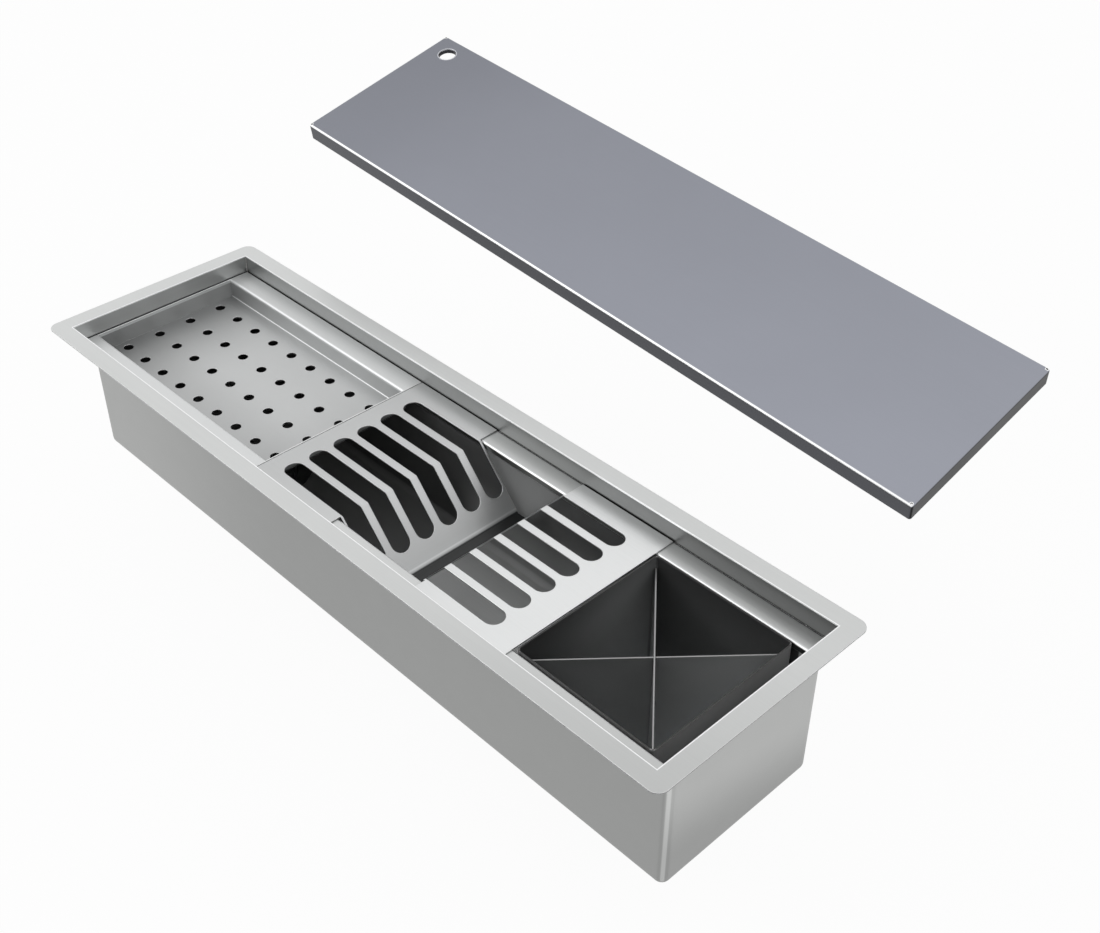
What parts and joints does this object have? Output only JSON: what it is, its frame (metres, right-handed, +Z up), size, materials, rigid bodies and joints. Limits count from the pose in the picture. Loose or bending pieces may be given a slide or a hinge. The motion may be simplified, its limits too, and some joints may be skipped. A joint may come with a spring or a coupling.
{
  "type": "trough sink",
  "caption": "Long stainless trough sink with a stepped rim, a perforated drainer tray, a slotted plate rack, a caddy with crossed dividers, a lift-off lid and a strainer waste.",
  "frame": {"origin": "centre of the rim, on its underside, where it lies on the worktop", "axes": "+X along the trough from the tray to the caddy, +Y across it towards the lid, +Z up"},
  "size_m": [1.0104, 0.6829, 0.454],
  "materials": {
    "steel": "fine brushed",
    "bowl_steel": "satin",
    "lid_steel": "dark satin",
    "polished_steel": "polished",
    "zinc_steel": "zinc plated",
    "seal_rubber": "matte",
    "pad_rubber": "matte",
    "waste_plastic": "moulded"
  },
  "bodies": {
    "trough": {"rim_frame": "steel", "bowl": "bowl_steel", "rim_seal": "seal_rubber", "sound_pad_left": "pad_rubber", "sound_pad_right": "pad_rubber", "earth_tab": "zinc_steel", "clip_studs": "zinc_steel", "clip_nuts": "zinc_steel", "waste_flange": "polished_steel", "waste_gasket": "seal_rubber", "waste_body": "waste_plastic", "waste_screw": "polished_steel"},
    "tray": {"drainer_tray": "steel"},
    "rack": {"plate_rack": "steel"},
    "caddy": {"caddy_box": "steel", "divider_a": "steel", "divider_b": "steel"},
    "lid": {"lid": "lid_steel"},
    "strainer": {"basket": "polished_steel", "basket_seal": "seal_rubber", "basket_knob": "polished_steel"},
    "clip_1": {"clip_arm_1": "zinc_steel"},
    "clip_2": {"clip_arm_2": "zinc_steel"},
    "clip_3": {"clip_arm_3": "zinc_steel"},
    "clip_4": {"clip_arm_4": "zinc_steel"},
    "clip_5": {"clip_arm_5": "zinc_steel"},
    "clip_6": {"clip_arm_6": "zinc_steel"}
  },
  "joints": [
    {"name": "tray_lift", "type": "slide", "parent": "trough", "child": "tray", "axis": [0, 0, 1], "range_m": [0, 0.08]},
    {"name": "rack_lift", "type": "slide", "parent": "trough", "child": "rack", "axis": [0, 0, 1], "range_m": [0, 0.12]},
    {"name": "caddy_lift", "type": "slide", "parent": "trough", "child": "caddy", "axis": [0, 0, 1], "range_m": [0, 0.2]},
    {"name": "strainer_lift", "type": "slide", "parent": "trough", "child": "strainer", "axis": [0, 0, 1], "range_m": [0, 0.12]},
    {"name": "lid_lift", "type": "slide", "parent": "trough", "child": "lid", "axis": [0, 0, 1], "range_m": [0, 0.12]},
    {"name": "clip_swivel_1", "type": "hinge", "parent": "trough", "child": "clip_1", "pos_m": [-0.32, -0.114, -0.0275], "axis": [0, 0, -1], "range_deg": [0, 90]},
    {"name": "clip_swivel_2", "type": "hinge", "parent": "trough", "child": "clip_2", "pos_m": [0, -0.114, -0.0275], "axis": [0, 0, -1], "range_deg": [0, 90]},
    {"name": "clip_swivel_3", "type": "hinge", "parent": "trough", "child": "clip_3", "pos_m": [0.32, -0.114, -0.0275], "axis": [0, 0, -1], "range_deg": [0, 90]},
    {"name": "clip_swivel_4", "type": "hinge", "parent": "trough", "child": "clip_4", "pos_m": [-0.32, 0.114, -0.0275], "axis": [0, 0, 1], "range_deg": [0, 90]},
    {"name": "clip_swivel_5", "type": "hinge", "parent": "trough", "child": "clip_5", "pos_m": [0, 0.114, -0.0275], "axis": [0, 0, 1], "range_deg": [0, 90]},
    {"name": "clip_swivel_6", "type": "hinge", "parent": "trough", "child": "clip_6", "pos_m": [0.32, 0.114, -0.0275], "axis": [0, 0, 1], "range_deg": [0, 90]}
  ]
}
